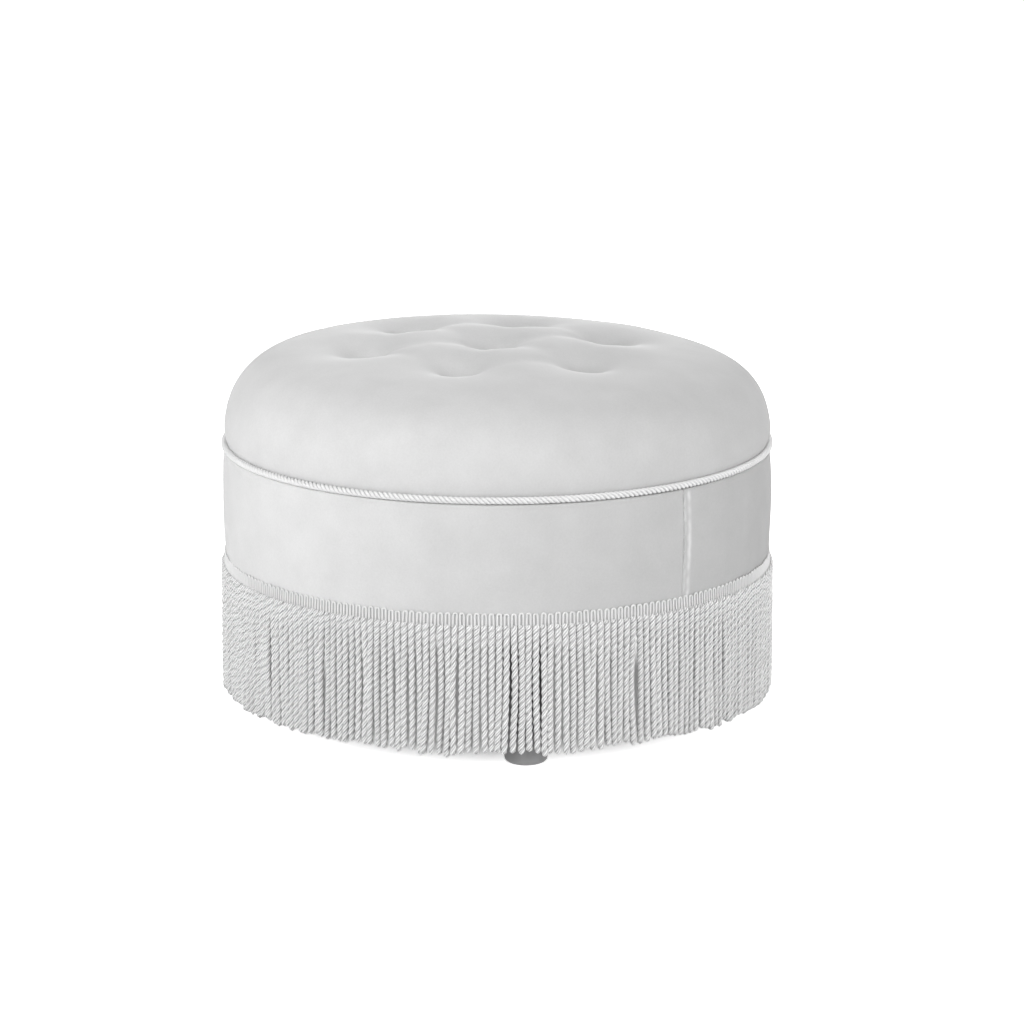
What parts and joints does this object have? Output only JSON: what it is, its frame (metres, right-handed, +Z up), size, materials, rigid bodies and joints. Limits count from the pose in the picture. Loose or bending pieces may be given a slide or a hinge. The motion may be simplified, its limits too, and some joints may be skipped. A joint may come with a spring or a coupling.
{
  "type": "tuffet",
  "caption": "Round upholstered stool with a tufted velvet seat, a twisted trim cord, a velvet side band and a long bullion fringe over short wooden legs.",
  "frame": {"origin": "on the floor, under the middle of the stool", "axes": "+Z up; +Y towards the back; the legs stand on the diagonals between the axes"},
  "size_m": [0.6096, 0.6096, 0.4064],
  "materials": {
    "velvet": "short pile velvet, pale silver grey, soft sheen",
    "trim_yarn": "twisted rayon yarn, pale grey, satin",
    "tape": "flat woven cotton tape",
    "leg_wood": "slate grey, satin lacquer",
    "post_wood": "sawn pine",
    "plywood": "raw birch plywood",
    "glide_plastic": "moulded black nylon on a steel nail",
    "steel": "zinc plated",
    "foam": "open cell upholstery foam",
    "wadding": "polyester fibre wadding",
    "twine": "waxed linen tufting twine",
    "washer_plastic": "moulded nylon",
    "card": null,
    "dust_cloth": "black non-woven cloth"
  },
  "bodies": {
    "root": {"leg_back_right": "leg_wood", "glide_back_right": "glide_plastic", "leg_back_left": "leg_wood", "glide_back_left": "glide_plastic", "leg_front_left": "leg_wood", "glide_front_left": "glide_plastic", "leg_front_right": "leg_wood", "glide_front_right": "glide_plastic", "post_1": "post_wood", "post_2": "post_wood", "post_3": "post_wood", "post_4": "post_wood", "post_5": "post_wood", "post_6": "post_wood", "post_7": "post_wood", "post_8": "post_wood", "hanger_bolts": "steel", "tee_nuts": "steel", "deck_screws": "steel", "base_screws": "steel", "skirt_staples": "steel", "band_staples": "steel", "dust_cover_staples": "steel", "base_board": "plywood", "top_deck": "plywood", "side_wall_back": "plywood", "side_wall_front": "plywood", "seat_foam": "foam", "side_foam": "foam", "seat_wadding": "wadding", "top_cover": "velvet", "band_panel_back": "velvet", "band_panel_front": "velvet", "tuft_twines": "twine", "tuft_washers": "washer_plastic", "tack_strip": "card", "trim_cord": "trim_yarn", "fringe_header": "trim_yarn", "bullion_fringe": "trim_yarn", "cord_lip": "tape", "dust_cover": "dust_cloth"}
  },
  "joints": []
}
